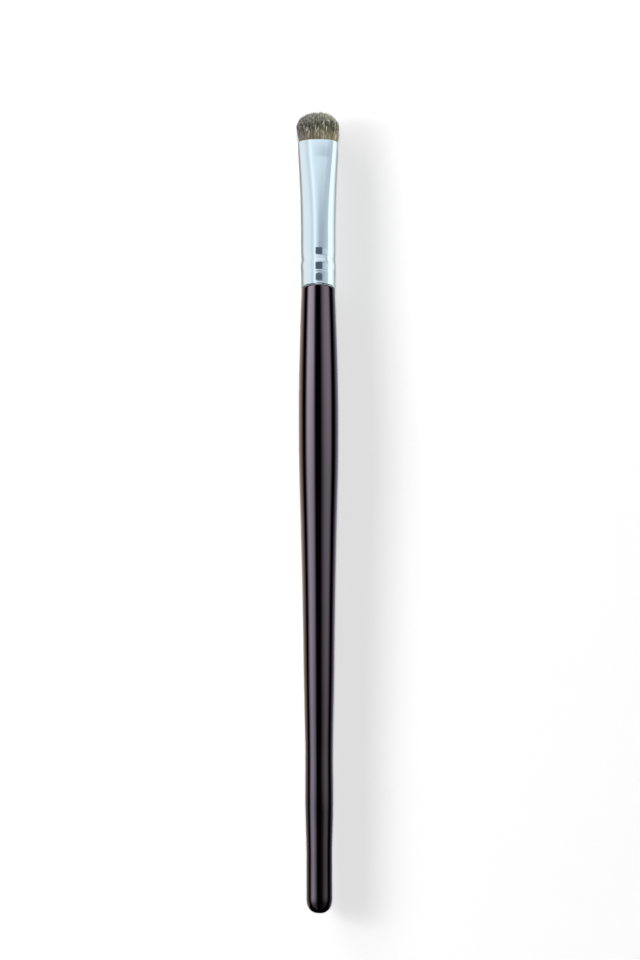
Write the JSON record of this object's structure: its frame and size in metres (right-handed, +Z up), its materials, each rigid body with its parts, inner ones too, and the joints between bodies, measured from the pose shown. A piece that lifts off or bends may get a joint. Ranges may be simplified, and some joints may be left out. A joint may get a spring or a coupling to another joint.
{
  "type": "eyeshadow brush",
  "caption": "Slim cosmetic brush: turned lacquered handle with a belly, crimped plated ferrule pressed from round to oval, and a short domed tuft of hair.",
  "frame": {"origin": "on the surface that the brush lies on, below the middle of its overall length; the brush's axis is parallel to the surface, a belly radius above it", "axes": "+Y along the brush from the tail of the handle to the hair, +Z up, square to the wide face of the ferrule's mouth, and +X across the mouth's width"},
  "size_m": [0.0095, 0.175, 0.0085],
  "materials": {
    "lacquered_wood": "turned wood under high-gloss black lacquer with a plum tint",
    "glue": "set glue film",
    "plated_metal": "polished plated metal tube",
    "resin": "cast amber resin",
    "thread": "undyed binding thread",
    "hair": "mixed dark and cream animal hair"
  },
  "bodies": {
    "root": {"handle": "lacquered_wood", "tenon_glue": "glue", "ferrule": "plated_metal", "resin_plug": "resin", "binding_thread": "thread", "hair_tuft": "hair"}
  },
  "joints": []
}
